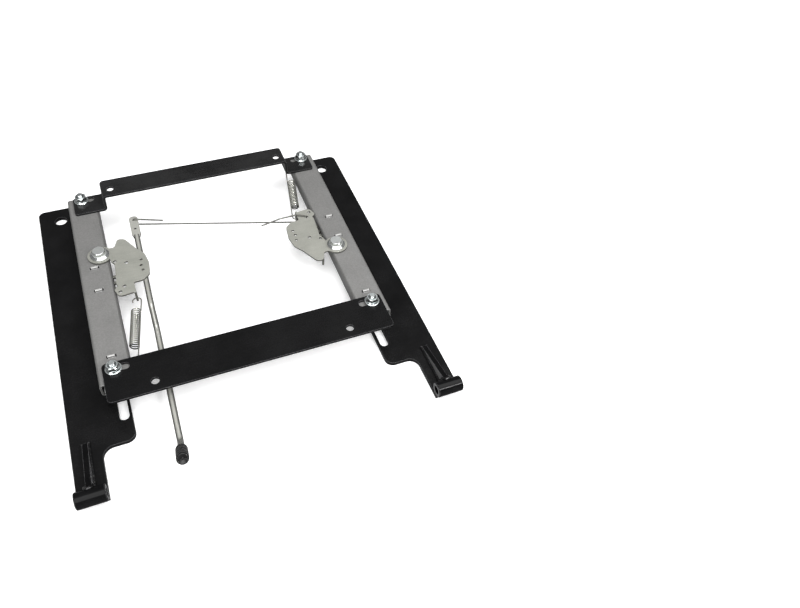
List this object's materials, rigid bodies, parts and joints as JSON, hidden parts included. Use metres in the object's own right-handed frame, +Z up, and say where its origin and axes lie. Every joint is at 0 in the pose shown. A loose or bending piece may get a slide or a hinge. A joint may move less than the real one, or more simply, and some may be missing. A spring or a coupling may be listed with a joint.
{
  "type": "seat slide rail set",
  "caption": "Pair of ball-guided seat slide rails on flat floor plates, tied by a front bar and a raised rear strap, with linked side latches and a release lever.",
  "frame": {"origin": "middle of the overall box in plan, on the floor under the side plates", "axes": "+Z up, +Y to the rear, the handle points to -Y, +X to the side away from the lever"},
  "size_m": [0.42, 0.4772, 0.0722],
  "materials": {
    "black_coat": "satin black powder coat",
    "rail_zinc": "dull zinc-plated sheet steel",
    "latch_zinc": "zinc-plated sheet steel with a pale yellow cast",
    "lever_zinc": "bright zinc-plated rod",
    "bright_zinc": "bright bluish zinc plating",
    "white_zinc": "bright white zinc plating",
    "wire_steel": "dull drawn wire",
    "spring_steel": "zinc-plated spring wire",
    "grip_rubber": "black rubber",
    "cage_plastic": "natural plastic",
    "ball_steel": "polished steel balls"
  },
  "bodies": {
    "base": {"left_side_plate": "black_coat", "right_side_plate": "black_coat", "left_pivot_tube": "black_coat", "right_pivot_tube": "black_coat", "left_gusset": "black_coat", "right_gusset": "black_coat", "left_lower_rail": "rail_zinc", "right_lower_rail": "rail_zinc", "rail_screws": "bright_zinc", "rail_nuts": "bright_zinc"},
    "upper_frame": {"left_upper_rail": "rail_zinc", "right_upper_rail": "rail_zinc", "rail_studs": "bright_zinc", "flange_nuts": "bright_zinc", "front_crossbar": "black_coat", "rear_strap": "black_coat", "left_pivot_bolt": "white_zinc", "right_pivot_bolt": "white_zinc", "left_spring": "spring_steel", "right_spring": "spring_steel"},
    "left_outer_roller": {"left_outer_cage": "cage_plastic", "left_outer_balls": "ball_steel"},
    "left_inner_roller": {"left_inner_cage": "cage_plastic", "left_inner_balls": "ball_steel"},
    "right_inner_roller": {"right_inner_cage": "cage_plastic", "right_inner_balls": "ball_steel"},
    "right_outer_roller": {"right_outer_cage": "cage_plastic", "right_outer_balls": "ball_steel"},
    "left_latch": {"left_latch_plate": "latch_zinc", "release_lever": "lever_zinc", "lever_grip": "grip_rubber"},
    "right_latch": {"right_latch_plate": "latch_zinc"},
    "link": {"link_wire": "wire_steel"}
  },
  "joints": [
    {"name": "seat_slide", "type": "slide", "parent": "base", "child": "upper_frame", "axis": [0, 1, 0], "range_m": [-0.07, 0.07]},
    {"name": "left_outer_roll", "type": "slide", "parent": "base", "child": "left_outer_roller", "axis": [0, 1, 0], "range_m": [-0.0351, 0.0351]},
    {"name": "left_inner_roll", "type": "slide", "parent": "base", "child": "left_inner_roller", "axis": [0, 1, 0], "range_m": [-0.0351, 0.0351]},
    {"name": "right_inner_roll", "type": "slide", "parent": "base", "child": "right_inner_roller", "axis": [0, 1, 0], "range_m": [-0.0351, 0.0351]},
    {"name": "right_outer_roll", "type": "slide", "parent": "base", "child": "right_outer_roller", "axis": [0, 1, 0], "range_m": [-0.0351, 0.0351]},
    {"name": "left_latch_turn", "type": "hinge", "parent": "upper_frame", "child": "left_latch", "pos_m": [-0.141, 0.0981, 0.03645], "axis": [0, 0, 1], "range_deg": [0, 8], "stiffness_Nm_per_rad": 1.9, "springref_deg": -20.05, "deforming": ["left_spring"]},
    {"name": "right_latch_turn", "type": "hinge", "parent": "upper_frame", "child": "right_latch", "pos_m": [0.141, 0.02411, 0.03645], "axis": [0, 0, 1], "range_deg": [0, 11.2], "stiffness_Nm_per_rad": 1.9, "springref_deg": -20.05, "deforming": ["right_spring"]},
    {"name": "link_swing", "type": "hinge", "parent": "left_latch", "child": "link", "pos_m": [-0.09265, 0.1541, 0.0317], "axis": [0, 0, 1], "range_deg": [-11.1, 0]}
  ],
  "couplings": [
    {"joint": "left_outer_roll", "follows": "seat_slide", "ratio": 0.5},
    {"joint": "left_inner_roll", "follows": "seat_slide", "ratio": 0.5},
    {"joint": "right_inner_roll", "follows": "seat_slide", "ratio": 0.5},
    {"joint": "right_outer_roll", "follows": "seat_slide", "ratio": 0.5},
    {"joint": "right_latch_turn", "follows": "left_latch_turn", "ratio": 1.395},
    {"joint": "link_swing", "follows": "left_latch_turn", "ratio": -1.375}
  ]
}
